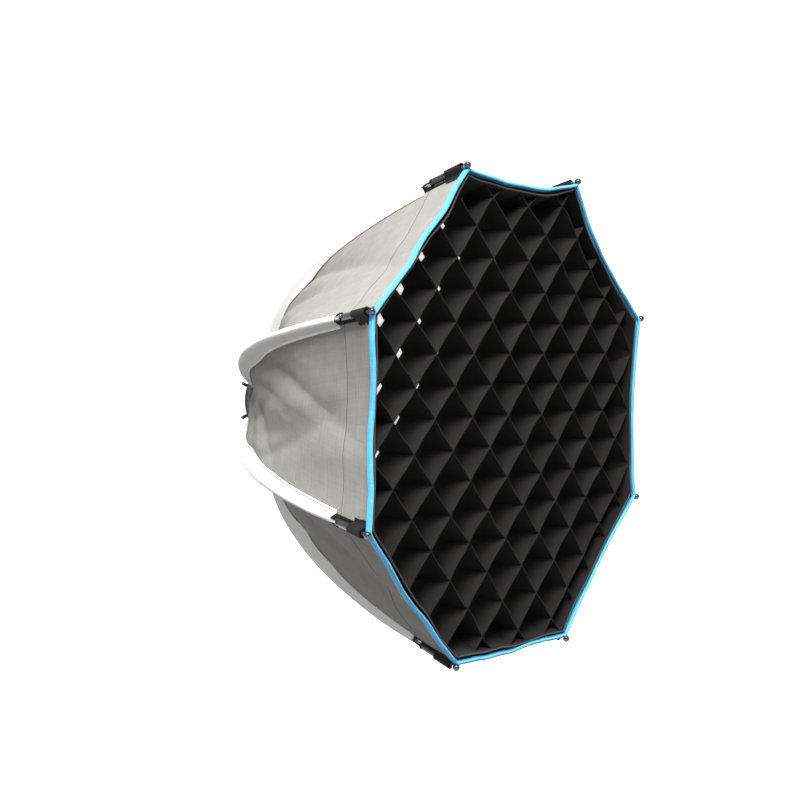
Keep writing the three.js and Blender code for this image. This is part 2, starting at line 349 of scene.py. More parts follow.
def turned_mesh(outline, sides):
    """Points and faces of an outline of (radius, height), turned about the Z axis."""
    angles = np.arange(sides) * 2 * math.pi / sides
    verts = np.array([[r * math.cos(a), r * math.sin(a), h] for r, h in outline for a in angles])
    faces = []
    for i in range(len(outline) - 1):
        for j in range(sides):
            k = (j + 1) % sides
            faces.append([i * sides + j, i * sides + k, (i + 1) * sides + k, (i + 1) * sides + j])
    return verts, faces


def add_object(name, verts, faces, material, body, sharp=35, uvs=None):
    """A mesh piece with that material, riding on that body. uvs gives each point's place in its cloth."""
    mesh = bpy.data.meshes.new(name)
    mesh.from_pydata(np.asarray(verts, float).tolist(), [], faces)
    mesh.shade_smooth()
    mesh.set_sharp_from_angle(angle=math.radians(sharp))
    if uvs is not None:
        add_cloth_map(mesh, uvs)
    mesh.materials.append(material)
    piece = bpy.data.objects.new(name, mesh)
    bpy.context.scene.collection.objects.link(piece)
    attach(piece, body)
    return piece


def add_cloth_map(mesh, uvs):
    """Keeps each point's place in its cloth with the mesh, for the materials to read."""
    layer = mesh.uv_layers.new(name="cloth")
    corners = np.zeros(len(mesh.loops), int)
    mesh.loops.foreach_get("vertex_index", corners)
    layer.data.foreach_set("uv", np.asarray(uvs, np.float32)[corners].ravel())


def sweep(path, sides, ups, profile, ring=False):
    """Points and faces of a profile of (side, up) pairs swept along a path, with flat ends."""
    n, m = len(path), len(profile)
    verts = (
        path[:, None, :]
        + profile[None, :, 0:1] * sides[:, None, :]
        + profile[None, :, 1:2] * ups[:, None, :]
    ).reshape(-1, 3)
    faces = []
    for i in range(n if ring else n - 1):
        a, b = i * m, ((i + 1) % n) * m
        for j in range(m):
            k = (j + 1) % m
            faces.append([a + j, a + k, b + k, b + j])
    if not ring:
        faces.append(list(range(m))[::-1])
        faces.append(list(range((n - 1) * m, n * m)))
    return verts, faces


def path_frames(path, up, ring=False):
    """Side and up directions along a path, with up kept close to the given one."""
    if ring:
        way = np.roll(path, -1, axis=0) - np.roll(path, 1, axis=0)
    else:
        way = np.gradient(path, axis=0)
    way /= np.linalg.norm(way, axis=1)[:, None]
    up = np.broadcast_to(np.asarray(up, float), path.shape)
    side = np.cross(way, up)
    side /= np.linalg.norm(side, axis=1)[:, None]
    return side, np.cross(side, way)


def round_profile(radius, sides, squash=1.0):
    """A circle, or a flattened one, as a section to sweep."""
    angles = np.arange(sides) * 2 * math.pi / sides
    return np.stack([radius * np.cos(angles), squash * radius * np.sin(angles)], axis=1)


def joined(parts):
    """Several (points, faces) as one."""
    verts, faces, start = [], [], 0
    for v, f in parts:
        verts.append(np.asarray(v))
        faces += [[i + start for i in face] for face in f]
        start += len(v)
    return np.vstack(verts), faces


def ripple(x, y, seed, waves=7, reach=1.0):
    """A smooth wandering height between about -1 and 1, from a few waves at random slants."""
    random = np.random.default_rng(seed)
    total = np.zeros(np.broadcast(x, y).shape)
    for _ in range(waves):
        a, b = random.normal(0, 1, 2) / reach
        total = total + np.sin(a * x + b * y + random.uniform(0, 2 * math.pi))
    return total / math.sqrt(waves)


# ---------------------------------------------------------------- the ribs' line


def rib_angle(k):
    """The angle of rib k's plane about the Y axis."""
    return FIRST_RIB + k * RIB_STEP


def make_rib_table():
    """Distance along the rib from its pivot, with the point and the way at each."""
    root_end = PIVOT + ROOT_WAY * SOCKET_END
    bow_end = TIP - TIP_WAY * FERRULE_START
    controls = [
        root_end,
        root_end + ROOT_WAY * BOW_REACH[0],
        bow_end - TIP_WAY * BOW_REACH[1],
        bow_end,
    ]
    t = np.linspace(0, 1, 500)[:, None]
    bow = (
        (1 - t) ** 3 * controls[0]
        + 3 * t * (1 - t) ** 2 * controls[1]
        + 3 * t**2 * (1 - t) * controls[2]
        + t**3 * controls[3]
    )
    root = PIVOT + np.linspace(0, 1, 30)[:-1, None] * (root_end - PIVOT)
    end = bow_end + np.linspace(0, 1, 60)[1:, None] * (TIP - bow_end)
    points = np.vstack([root, bow, end])
    steps = np.linalg.norm(np.diff(points, axis=0), axis=1)
    along = np.concatenate([[0], np.cumsum(steps)])
    ways = np.gradient(points, along, axis=0)
    return along, points, ways


RIB_ALONG, RIB_POINTS, RIB_WAYS = make_rib_table()
BALL_AT = RIB_ALONG[-1]
CANOPY_END = BALL_AT - EDGE_BACK
SEAM_V = 1 - SEAM_BACK / (CANOPY_END - CANOPY_START)
SEAM_SPAN = SEAM_WIDTH / (CANOPY_END - CANOPY_START)


def rib_at(along):
    """Radius, y and the way (in radius and y) at a distance along the rib, which runs straight on
    past its ends."""
    inside = np.clip(along, 0, BALL_AT)
    over = along - inside
    way = [np.interp(inside, RIB_ALONG, RIB_WAYS[:, i]) for i in range(2)]
    length = np.hypot(*way)
    way = [w / length for w in way]
    point = [np.interp(inside, RIB_ALONG, RIB_POINTS[:, i]) + over * way[i] for i in range(2)]
    return point[0], point[1], way[0], way[1]


def in_rib_plane(k, radius, y, across=0.0):
    """The point at that radius and y in the plane of rib k, moved across it."""
    a = rib_angle(k)
    radius, y, across = np.broadcast_arrays(
        np.asarray(radius, float), np.asarray(y, float), np.asarray(across, float)
    )
    x = radius * math.cos(a) - across * math.sin(a)
    z = radius * math.sin(a) + across * math.cos(a)
    return np.stack([x, y, z], axis=-1)


def across_way(k):
    """The way straight across rib k's plane, towards the next rib."""
    a = rib_angle(k)
    return np.array([-math.sin(a), 0, math.cos(a)])


def rib_path(k, start, end, count, lift=0.0):
    """Points along rib k, and the outward direction at each, lifted off its line."""
    along = np.linspace(start, end, count)
    r, y, wr, wy = rib_at(along)
    path = in_rib_plane(k, r - wy * lift, y + wr * lift)
    up = in_rib_plane(k, -wy, wr)
    return path, up


# ---------------------------------------------------------------- materials


class Look:
    """A material with a Principled shader and short ways to add texture nodes to it."""

    def __init__(self, name, colour, roughness, metallic=0.0, sheen=0.0, coat=0.0, specular=0.5):
        self.material = bpy.data.materials.new(name)
        self.material.use_nodes = True
        self.tree = self.material.node_tree
        self.shader = self.tree.nodes["Principled BSDF"]
        for socket, value in (
            ("Base Color", (*colour, 1)),
            ("Roughness", roughness),
            ("Metallic", metallic),
            ("Sheen Weight", sheen),
            ("Sheen Roughness", 0.4),
            ("Coat Weight", coat),
            ("Coat Roughness", 0.15),
            ("Specular IOR Level", specular),
        ):
            self.shader.inputs[socket].default_value = value

    def node(self, kind, **inputs):
        made = self.tree.nodes.new("ShaderNode" + kind)
        for key, value in inputs.items():
            self.feed(made.inputs[key.replace("_", " ")], value)
        return made

    def feed(self, socket, value):
        if isinstance(value, bpy.types.NodeSocket):
            self.tree.links.new(value, socket)
        else:
            socket.default_value = value

    def place(self, cloth=False):
        """The point's place: in its cloth, or in the object."""
        if cloth:
            made = self.node("UVMap")
            made.uv_map = "cloth"
            return made.outputs["UV"]
        return self.node("TexCoord").outputs["Object"]

    def stretched(self, place, scale):
        made = self.node("Mapping", Vector=place)
        made.inputs["Scale"].default_value = scale
        return made.outputs["Vector"]

    def noise(self, place, scale, detail=3.0, roughness=0.55):
        made = self.node("TexNoise", Vector=place, Scale=scale, Detail=detail, Roughness=roughness)
        return made.outputs["Fac"]

    def maths(self, operation, a, b=0.0, c=0.0):
        made = self.node("Math")
        made.operation = operation
        for socket, value in zip(made.inputs, (a, b, c)):
            self.feed(socket, value)
        return made.outputs[0]

    def ramp(self, value, low, high, from_=0.3, to=0.7):
        """A colour that runs from low to high as value goes from from_ to to."""
        made = self.node("ValToRGB", Fac=value)
        stops = made.color_ramp.elements
        stops[0].position, stops[0].color = from_, (*low, 1)
        stops[1].position, stops[1].color = to, (*high, 1)
        return made.outputs["Color"]

    def span(self, value, low, high):
        made = self.node("MapRange", Value=value)
        made.inputs["To Min"].default_value = low
        made.inputs["To Max"].default_value = high
        return made.outputs["Result"]

    def bump(self, height, distance, strength=1.0, below=None):
        made = self.node("Bump", Height=height, Distance=distance, Strength=strength)
        if below is not None:
            self.feed(made.inputs["Normal"], below)
        return made.outputs["Normal"]

    def colour(self, socket):
        self.feed(self.shader.inputs["Base Color"], socket)

    def roughness(self, socket):
        self.feed(self.shader.inputs["Roughness"], socket)

    def normal(self, socket):
        self.feed(self.shader.inputs["Normal"], socket)

    def weave(self, place, pitch):
        """The height of a plain weave with that distance between threads."""
        made = self.node("SeparateXYZ", Vector=place)
        turns = 2 * math.pi / pitch
        warp = self.maths("SINE", self.maths("MULTIPLY", made.outputs["X"], turns))
        weft = self.maths("SINE", self.maths("MULTIPLY", made.outputs["Y"], turns))
        return self.maths("MULTIPLY", warp, weft)


def woven(name, low, high, pitch, roughness=0.88, sheen=0.1, streak=(14, 350), specular=0.15):
    """A plain-woven cloth whose threads vary a little in colour along their length."""
    look = Look(name, high, roughness, sheen=sheen, specular=specular)
    place = look.place(cloth=True)
    along = look.noise(look.stretched(place, (streak[0], streak[1], 1)), 1.0, 2.0)
    athwart = look.noise(look.stretched(place, (streak[1], streak[0], 1)), 1.0, 2.0)
    cloudy = look.noise(place, 22.0, 4.0)
    mixed = look.maths("ADD", look.maths("MULTIPLY", along, 0.35), look.maths("MULTIPLY", athwart, 0.25))
    mixed = look.maths("ADD", mixed, look.maths("MULTIPLY", cloudy, 0.4))
    look.colour(look.ramp(mixed, low, high, 0.35, 0.65))
    look.roughness(look.span(cloudy, roughness - 0.06, min(1.0, roughness + 0.06)))
    soft = look.bump(look.noise(place, 60.0, 3.0), 0.0006)
    look.normal(look.bump(look.weave(place, pitch), 0.00012, below=soft))
    return look.material


def silver_lining():
    look = Look("silver_lining", (0.62, 0.62, 0.63), 0.38, metallic=0.75)
    place = look.place(cloth=True)
    crinkle = look.noise(place, 90.0, 4.0)
    look.colour(look.ramp(crinkle, (0.5, 0.5, 0.51), (0.72, 0.72, 0.73)))
    look.roughness(look.span(crinkle, 0.3, 0.5))
    look.normal(look.bump(crinkle, 0.0008))
    return look.material


def white_diffusion_painted_glow():
    look = Look("white_diffusion_painted_glow", (0.86, 0.855, 0.84), 0.8, sheen=0.2, specular=0.2)
    place = look.place(cloth=True)
    cloudy = look.noise(place, 25.0, 3.0)
    look.colour(look.ramp(cloudy, (0.83, 0.825, 0.81), (0.89, 0.885, 0.87)))
    look.normal(look.bump(look.weave(place, 0.7 * MM), 0.00008))
    # Painted glow: the diffuser, and the baffle that shares this material, glow as if lit from behind by
    # the lamp inside the box, though neither is a lamp.
    look.shader.inputs["Emission Color"].default_value = (1, 0.99, 0.97, 1)
    look.shader.inputs["Emission Strength"].default_value = 0.75
    return look.material


def moulded_plastic(name, colour=(0.01, 0.01, 0.0105), roughness=0.42):
    """Black plastic with a fine spark-eroded grain and slightly shinier worn edges."""
    look = Look(name, colour, roughness, specular=0.45)
    place = look.place()
    grain = look.noise(place, 2500.0, 2.0)
    wear = look.noise(place, 60.0, 5.0)
    high = tuple(c * 1.9 for c in colour)
    look.colour(look.ramp(wear, colour, high, 0.45, 0.75))
    look.roughness(look.span(wear, roughness - 0.08, roughness + 0.12))
    look.normal(look.bump(grain, 0.00006))
    return look.material


def anodised(name, colour, roughness=0.34):
    """Turned aluminium: fine rings left by the tool, under dark anodising."""
    look = Look(name, colour, roughness, metallic=0.9)
    place = look.place()
    rings = look.noise(look.stretched(place, (20, 6000, 20)), 1.0, 2.0)
    cloudy = look.noise(place, 70.0, 3.0)
    look.colour(look.ramp(cloudy, tuple(c * 0.8 for c in colour), tuple(c * 1.25 for c in colour)))
    look.roughness(look.span(rings, roughness - 0.08, roughness + 0.12))
    look.normal(look.bump(rings, 0.00004))
    return look.material


def steel(name, colour=(0.5, 0.5, 0.51), roughness=0.28):
    look = Look(name, colour, roughness, metallic=1.0)
    place = look.place()
    drawn = look.noise(look.stretched(place, (300, 300, 300)), 1.0, 4.0)
    look.colour(look.ramp(drawn, tuple(c * 0.85 for c in colour), tuple(min(1, c * 1.1) for c in colour)))
    look.roughness(look.span(drawn, roughness - 0.08, roughness + 0.15))
    look.normal(look.bump(drawn, 0.00003))
    return look.material


def gloss_black():
    look = Look("gloss_black", (0.006, 0.006, 0.0065), 0.24, coat=0.25, specular=0.3)
    place = look.place()
    smudge = look.noise(place, 180.0, 4.0)
    look.colour(look.ramp(smudge, (0.004, 0.004, 0.0045), (0.01, 0.01, 0.0105)))
    look.roughness(look.span(smudge, 0.2, 0.36))
    look.normal(look.bump(smudge, 0.00003))
    return look.material


LOOKS = {
    "canopy": woven("canopy_cloth", (0.15, 0.143, 0.134), (0.23, 0.222, 0.21), 0.55 * MM, sheen=0.08),
    "lining": silver_lining(),
    "sleeve": woven("sleeve_cloth", (0.55, 0.545, 0.535), (0.66, 0.655, 0.64), 0.9 * MM, 0.82),
    "binding": woven(
        "binding_cloth", (0.045, 0.255, 0.46), (0.085, 0.365, 0.59), 0.8 * MM, 0.62, 0.1, (40, 900)
    ),
    "black": woven(
        "black_cloth",
        (0.0065, 0.0058, 0.0056),
        (0.013, 0.0118, 0.0115),
        0.6 * MM,
        0.85,
        0.02,
        (25, 500),
        0.04,
    ),
    "webbing": woven(
        "black_webbing",
        (0.004, 0.004, 0.004),
        (0.011, 0.0105, 0.0105),
        1.3 * MM,
        0.8,
        0.02,
        (60, 500),
        0.08,
    ),
    "piping": woven("grey_piping", (0.028, 0.026, 0.025), (0.05, 0.047, 0.045), 0.8 * MM, 0.7, 0.02),
    "thread": woven("dark_thread", (0.04, 0.038, 0.036), (0.07, 0.066, 0.063), 0.5 * MM, 0.8, 0.02),
    "binding_thread": woven(
        "binding_thread", (0.01, 0.09, 0.22), (0.02, 0.13, 0.3), 0.5 * MM, 0.8, 0.05
    ),
    "white": white_diffusion_painted_glow(),
    "plastic": moulded_plastic("black_plastic"),
    "button": moulded_plastic("button_plastic", (0.018, 0.018, 0.019), 0.5),
    "anodised": anodised("dark_anodised", (0.045, 0.045, 0.048)),
    "screw": steel("screw_steel"),
    "rod": steel("spring_steel", (0.42, 0.42, 0.43), 0.3),
    "gloss": gloss_black(),
    "ball": steel("dark_chrome", (0.05, 0.05, 0.053), 0.16),
}


# ---------------------------------------------------------------- canopy


def canopy_at(gore, w, v, depth):
    """Points of a gore: w is the share of the way from rib `gore` to the next, v the share of the
    way from the hub to the front edge, and depth how far the point lies under the ribs' line."""
    gore %= RIBS
    w, v = np.broadcast_arrays(np.asarray(w, float), np.asarray(v, float))
    hang = 4 * w * (1 - w)
    loose = np.sqrt(np.maximum(hang, 0))
    end = CANOPY_END - EDGE_HOLLOW * hang - edge_wave(gore) * loose * ripple(w * 9, 0 * v, 106 + gore)
    along = CANOPY_START + v * (end - CANOPY_START)
    r, y, wr, wy = rib_at(along)
    push = SAG * np.sin(math.pi * 0.85 * v + 0.25) * hang + wrinkles(gore, w, v) * loose
    low = r + depth * wy
    a0, a1 = rib_angle(gore), rib_angle(gore + 1)
    mid = (a0 + a1) / 2
    x = low * ((1 - w) * math.cos(a0) + w * math.cos(a1)) + push * wy * math.cos(mid)
    z = low * ((1 - w) * math.sin(a0) + w * math.sin(a1)) + push * wy * math.sin(mid)
    return np.stack([x, y - (depth + push) * wr, z - DROOP * hang * v], axis=-1)


def edge_wave(gore):
    """How far the front edge of a gore waves: most at LOOSEST, and hardly at all across from it."""
    return EDGE_WAVE * math.cos((gore - LOOSEST) * RIB_STEP / 2) ** 2


def wrinkles(gore, w, v):
    """How far inward the cloth lies in its folds, in its longer slack, and along the sewn line. Each
    fold starts at one of the gore's ribs, so far from the hub, and slants across the gore."""
    random = np.random.default_rng(40 + gore)
    total = SLACK_WAVES * ripple(w * 5, v * 6, 70 + gore)
    total = total + SMALL_WAVES * ripple(w * 14, v * 12, 80 + gore)
    total = total + FINE_WAVES * ripple(w * 45, v * 60, 90 + gore)
    for corner, way, size in ((0.04, 1, FOLD_SIZE), (0.96, -1, 0.5 * FOLD_SIZE)):
        for start, slant in FOLDS:
            reach = v - start
            line = corner + way * slant * random.uniform(0.85, 1.15) * reach
            width = random.uniform(*FOLD_WIDTHS) * (1 + reach) * (1 + 0.4 * slant)
            fold = np.exp(-(np.abs((w - line) / width) ** 1.5) - (reach / FOLD_REACH) ** 2)
            total = total + random.uniform(0.7, 1.2) * size * fold
    total = total * (1 - np.exp(-((v / CALM_BY_HUB) ** 2)))
    return total + SEAM_PUCKER * np.exp(-(((v - SEAM_V) / SEAM_SPAN) ** 2))


def canopy_normals(gore, w, v, depth):
    """The outward way of the gore's cloth at those points."""
    step = 0.004
    by_w = canopy_at(gore, w + step, v, depth) - canopy_at(gore, w - step, v, depth)
    by_v = canopy_at(gore, w, v + step, depth) - canopy_at(gore, w, v - step, depth)
    normal = np.cross(by_v, by_w)
    return normal / np.linalg.norm(normal, axis=-1)[..., None]


def across_columns():
    """Where the points lie across half a gore, from the rib to its middle, closer near the rib."""
    t = np.linspace(0, 1, HALF_COLUMNS)
    return 0.5 * (0.35 * t + 0.65 * t**1.5)


def panel_points(k, v, depth):
    """Points and normals across the panel of rib k, from one mid-gore line to the other."""
    w = across_columns()
    v = np.asarray(v, float)[:, None]
    before = 1 - w[::-1][None, :]
    after = w[None, :]
    left = canopy_at(k - 1, before, v, depth)
    right = canopy_at(k, after, v, depth)
    left_normals = canopy_normals(k - 1, np.minimum(before, 0.996), v, depth)
    right_normals = canopy_normals(k, np.maximum(after, 0.004), v, depth)
    points = np.concatenate([left, right[:, 1:]], axis=1)
    normals = np.concatenate([left_normals, right_normals[:, 1:]], axis=1)
    middle = left_normals[:, -1] + right_normals[:, 0]
    normals[:, len(w) - 1] = middle / np.linalg.norm(middle, axis=-1)[:, None]
    return points, normals


def shell_faces(outer, facing):
    """Faces of a thin closed shell: the outer grid of points, the inner one behind it, and the rim
    between them. facing is the way the outer side looks, at each point. An inner face starts at
    the same corner as the outer one, so both bend along the same diagonal."""
    rows, columns = outer.shape[:2]
    count = rows * columns
    index = np.arange(count).reshape(rows, columns)
    top = np.stack([index[:-1, :-1], index[1:, :-1], index[1:, 1:], index[:-1, 1:]], axis=-1)
    top = top.reshape(-1, 4)
    rim = np.concatenate([index[:-1, 0], index[-1, :-1], index[:0:-1, -1], index[0, :0:-1]])
    after = np.roll(rim, -1)
    side = np.stack([after, rim, rim + count, after + count], axis=-1)
    faces = np.concatenate([top, top[:, [0, 3, 2, 1]] + count, side])
    flat = outer.reshape(-1, 3)
    way = np.cross(flat[top[:, 1]] - flat[top[:, 0]], flat[top[:, 3]] - flat[top[:, 0]])
    if (way * facing.reshape(-1, 3)[top[:, 0]]).sum() < 0:
        faces = faces[:, ::-1]
    return faces, len(top)


def shell(name, outer, inner, normals, looks, body):
    """A thin closed cloth between two grids of points, shaded by the given outward normals. Its
    inner side takes the last of the looks."""
    faces, tops = shell_faces(outer, normals)
    mesh = bpy.data.meshes.new(name)
    points = np.vstack([outer.reshape(-1, 3), inner.reshape(-1, 3)])
    mesh.from_pydata(points.tolist(), [], faces.tolist())
    mesh.shade_smooth()
    add_cloth_map(mesh, np.tile(cloth_places(outer), (2, 1)))
    for look in looks:
        mesh.materials.append(LOOKS[look])
    slots = np.zeros(len(faces), np.int32)
    slots[tops : 2 * tops] = len(looks) - 1
    mesh.polygons.foreach_set("material_index", slots)
    set_shading(mesh, points, faces, tops, normals.reshape(-1, 3))
    piece = bpy.data.objects.new(name, mesh)
    bpy.context.scene.collection.objects.link(piece)
    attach(piece, body)
    return piece


def set_shading(mesh, points, faces, tops, normals):
    """Outer and inner faces take the smooth cloth's own normals, and the cut edges are flat."""
    corners = np.zeros((len(faces), 4, 3))
    corners[:tops] = normals[faces[:tops]]
    corners[tops : 2 * tops] = -normals[faces[tops : 2 * tops] - len(normals)]
    side = faces[2 * tops :]
    flat = np.cross(points[side[:, 2]] - points[side[:, 0]], points[side[:, 3]] - points[side[:, 1]])
    flat /= np.maximum(np.linalg.norm(flat, axis=1), 1e-12)[:, None]
    corners[2 * tops :] = flat[:, None, :]
    mesh.normals_split_custom_set(corners.reshape(-1, 3).tolist())


def cloth_places(points):
    """Each point's distance across and along the cloth, as if it lay flat, for the weave to follow."""
    middle = points.shape[1] // 2
    widths = np.linalg.norm(np.diff(points, axis=1), axis=-1)
    across = np.concatenate([np.zeros((len(points), 1)), np.cumsum(widths, axis=1)], axis=1)
    across -= across[:, middle : middle + 1]
    lengths = np.linalg.norm(np.diff(points, axis=0), axis=-1).mean(axis=1)
    along = np.concatenate([[0], np.cumsum(lengths)])[:, None] + 0 * across
    return np.stack([across, along], axis=-1).reshape(-1, 2)


def cloth_area(points):
    """The area of a cloth that is a grid of points."""
    a = points[1:, :-1] - points[:-1, :-1]
    b = points[:-1, 1:] - points[:-1, :-1]
    return float(np.linalg.norm(np.cross(a, b), axis=-1).sum())


def declare(points):
    """Works out the width and length, each at least 1 cm, that a grid of points has when flat; nothing
    uses them."""
    width = float(np.linalg.norm(np.diff(points, axis=1), axis=-1).sum(axis=1).max())
    length = float(np.linalg.norm(np.diff(points, axis=0), axis=-1).sum(axis=0).max())
    width, length = max(width, 0.01), max(length, 0.01)


def fold_radius(radius, y):
    """The radius that a point in a rib's plane has once the rib is folded."""
    side, ahead = radius - PIVOT[0], y - PIVOT[1]
    return PIVOT[0] + side * math.cos(FOLD_ANGLE) + ahead * math.sin(FOLD_ANGLE)


def folded_share(v):
    """How narrow a panel has to be at v, folded, for its edges to meet the next ones."""
    point = canopy_at(0, 0.5, v, UNDER)
    mid = rib_angle(0) + RIB_STEP / 2
    out = point[0] * math.cos(mid) + point[2] * math.sin(mid)
    radius = out * math.cos(RIB_STEP / 2)
    half = out * math.sin(RIB_STEP / 2)
    return float(fold_radius(radius, point[1]) * math.tan(RIB_STEP / 2) / half)


def crumple(piece, share):
    """Gives the piece a mesh of its own."""
    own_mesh(piece)


def make_canopy(k, rear_trim):
    """The panel of cloth sewn along rib k, in bands from the hub to the front."""
    body = f"rib_{k + 1}"
    edges = np.linspace(0, 1, BANDS + 1)
    by_seam = SEAM_V + np.linspace(-2, 2, 9) * SEAM_SPAN
    rows = np.union1d(np.linspace(0, 1, BANDS * ROWS_PER_BAND + 1), by_seam)
    for band in range(BANDS):
        v = rows[(rows > edges[band] - 1e-9) & (rows < edges[band + 1] + 1e-9)]
        outer, normals = panel_points(k, v, UNDER)
        inner, _ = panel_points(k, v, UNDER + CLOTH)
        name = f"canopy_{k + 1}_{band + 1}"
        piece = shell(name, outer, inner, normals, ["canopy", "lining"], body)
        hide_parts(f"canopy_panel_{k + 1}")
        declare(outer)
        crumple(piece, folded_share(edges[band]))


def edge_path(k, v, depth):
    """Points across panel k near its front edge, with the ways forward and outward there."""
    points, normals = panel_points(k, [v - 0.004, v], depth)
    forward = points[1] - points[0]
    forward /= np.linalg.norm(forward, axis=1)[:, None]
    return points[1], forward, normals[1]


def make_binding(k):
    """The blue tape folded over the front edge, with a stitched groove along its middle."""
    path, forward, normal = edge_path(k, 1.0, UNDER + CLOTH / 2)
    line = np.array(BINDING_OUTLINE + BINDING_OUTLINE[:1]) * MM
    profile = smooth_line(line, 37)[:-1]
    verts, faces = sweep(path, forward, normal, profile)
    places = np.tile(np.arange(len(profile))[None, :] * 0.4 * MM, (len(path), 1))
    reach = np.concatenate([[0], np.cumsum(np.linalg.norm(np.diff(path, axis=0), axis=1))])
    uvs = np.stack([places, np.broadcast_to(reach[:, None], places.shape)], axis=-1).reshape(-1, 2)
    piece = add_object(f"binding_{k + 1}", verts, faces, LOOKS["binding"], f"rib_{k + 1}", 60, uvs)
    crumple(piece, folded_share(1.0))
    stitches = path - forward * 1.0 * MM + normal * 1.05 * MM
    verts, faces = sweep(stitches, forward, normal, round_profile(0.45 * MM, 6))
    thread = add_object(
        f"binding_stitches_{k + 1}", verts, faces, LOOKS["binding_thread"], f"rib_{k + 1}", 60
    )
    crumple(thread, folded_share(1.0))
    return [piece, thread]


def toward_axis(points, distance):
    """The points moved in towards the axis, square to the octagon's sides."""
    radius = np.hypot(points[..., 0], points[..., 2])
    scale = 1 - distance / (radius.min() if np.isscalar(distance) else radius)
    moved = points.copy()
    moved[..., 0] *= scale
    moved[..., 2] *= scale
    return moved


def make_lip(k):
    """The black band inside the front, which turns in behind the binding to meet the grid."""
    depth = UNDER + CLOTH + 0.6 * MM
    back_v = 1 - 52 * MM / (CANOPY_END - CANOPY_START)
    front_v = 1 - LIP_BACK / (CANOPY_END - CANOPY_START)
    wall, normals = panel_points(k, np.linspace(back_v, front_v, 6), depth)
    front = wall[-1]
    rows = [*wall]
    outward = [*normals]
    for inward, forward in ((0.25, 0.3), (0.6, 0.0), (1.0, -0.6)):
        row = toward_axis(front, inward * LIP_REACH)
        row[:, 1] -= forward * MM
        rows.append(row)
        outward.append(np.tile([0.0, 1.0, 0.0], (row.shape[0], 1)))
    outer = np.array(rows)
    outward = np.array(outward)
    inner = outer - outward * 0.8 * MM
    piece = shell(f"front_lip_{k + 1}", outer, inner, outward, ["black"], f"rib_{k + 1}")
    declare(outer)
    crumple(piece, folded_share(1.0))


def make_sewn_line(k):
    """The line of stitches round the canopy behind its front edge."""
    path, forward, normal = edge_path(k, SEAM_V, UNDER)
    verts, faces = sweep(path, forward, normal, round_profile(0.5 * MM, 6, 0.7))
    piece = add_object(f"sewn_line_{k + 1}", verts, faces, LOOKS["thread"], f"rib_{k + 1}", 60)
    crumple(piece, folded_share(SEAM_V))
    return piece


def make_hem(k):
    """The rolled hem round the canopy's rear opening."""
    path, forward, normal = edge_path(k, 0.004, UNDER + CLOTH / 2)
    verts, faces = sweep(path, forward, normal, round_profile(1.5 * MM, 12, 0.75))
    piece = add_object(f"rear_hem_{k + 1}", verts, faces, LOOKS["canopy"], f"rib_{k + 1}", 60)
    crumple(piece, folded_share(0.0))
    return piece


# ---------------------------------------------------------------- sleeves and tips


def sleeve_profile():
    """The sleeve's section, outside and inside."""
    right = np.array(SLEEVE_OUTLINE) * MM
    left = right[:-1] * [-1, 1]
    line = np.vstack([right, left[::-1]])
    outer = smooth_line(line, 41)
    inner = outer * [0.93, 1] - [0, SLEEVE_CLOTH]
    return outer, inner


def grid_normals(points, up):
    """The way that a grid of points looks, taking the side on which up is."""
    normals = np.cross(np.gradient(points, axis=0), np.gradient(points, axis=1))
    middle = points.shape[1] // 2
    if (normals * up[:, None, :])[:, middle].sum() < 0:
        normals = -normals
    return normals / np.linalg.norm(normals, axis=-1)[..., None]


def canopy_rise(k, across, along, path, up):
    """How high the canopy is over its ridge line at that distance to one side of rib k."""
    way = 1 if across.mean() > 0 else -1
    radius = rib_at(along)[0]
    share = np.abs(across) / (radius * math.sin(RIB_STEP))
    gore, w = (k, share) if way > 0 else (k - 1, 1 - share)
    v = (along - CANOPY_START) / (CANOPY_END - CANOPY_START)
    points = canopy_at(gore, w, v, UNDER)
    return ((points - path) * up).sum(axis=1)


def make_sleeve(k, loop):
    """The sleeve that holds the rod, its flanges sewn down on the canopy at both sides."""
    start, end = SLEEVE_START, BALL_AT - SLEEVE_END
    along = np.linspace(start, end, 90)
    path, up = rib_path(k, start, end, len(along), lift=-UNDER)
    side = np.broadcast_to(across_way(k), path.shape)
    outer, inner = sleeve_profile()
    share = np.linspace(0, 1, len(path))
    full = np.sin(math.pi * (0.15 + 0.85 * share)) ** 0.8
    tall = 0.6 + 0.4 * full + 0.03 * ripple(share * 12, share * 0, 300 + k)
    wide = 0.85 + 0.15 * full
    left, right = (canopy_rise(k, way * FLANGE_EDGE * wide, along, path, up) for way in (-1, 1))

    def placed(profile):
        across, height = profile[:, 0], profile[:, 1]
        sewn = np.clip((np.abs(across) - FLANGE_ROOT) / (FLANGE_INNER - FLANGE_ROOT), 0, 1)
        drop = np.where(across > 0, right[:, None], left[:, None]) + FLANGE_LIFT - FLANGE_HEIGHT
        heights = height * np.where(height > 0, tall[:, None], 1) + sewn * drop
        return (
            path[:, None, :]
            + (across * wide[:, None])[..., None] * side[:, None, :]
            + heights[..., None] * up[:, None, :]
        )

    top = placed(outer)
    normals = grid_normals(top, up)
    piece = shell(f"sleeve_{k + 1}", top, placed(inner), normals, ["sleeve"], f"rib_{k + 1}")
    piping = make_sleeve_piping(k, along, path, side, up, wide)
    declare(top)


def make_sleeve_piping(k, along, path, side, up, wide):
    """The cords of piping along the sleeve's two edges."""
    parts = []
    for way in (-1, 1):
        across = way * FLANGE_EDGE * wide
        height = canopy_rise(k, across, along, path, up) + 0.8 * MM
        line = path + side * across[:, None] + up * height[:, None]
        parts.append(sweep(line, side, up, round_profile(PIPING_RADIUS, 8)))
    verts, faces = joined(parts)
    piece = add_object(f"sleeve_piping_{k + 1}", verts, faces, LOOKS["sleeve"], f"rib_{k + 1}", 60)
    return piece


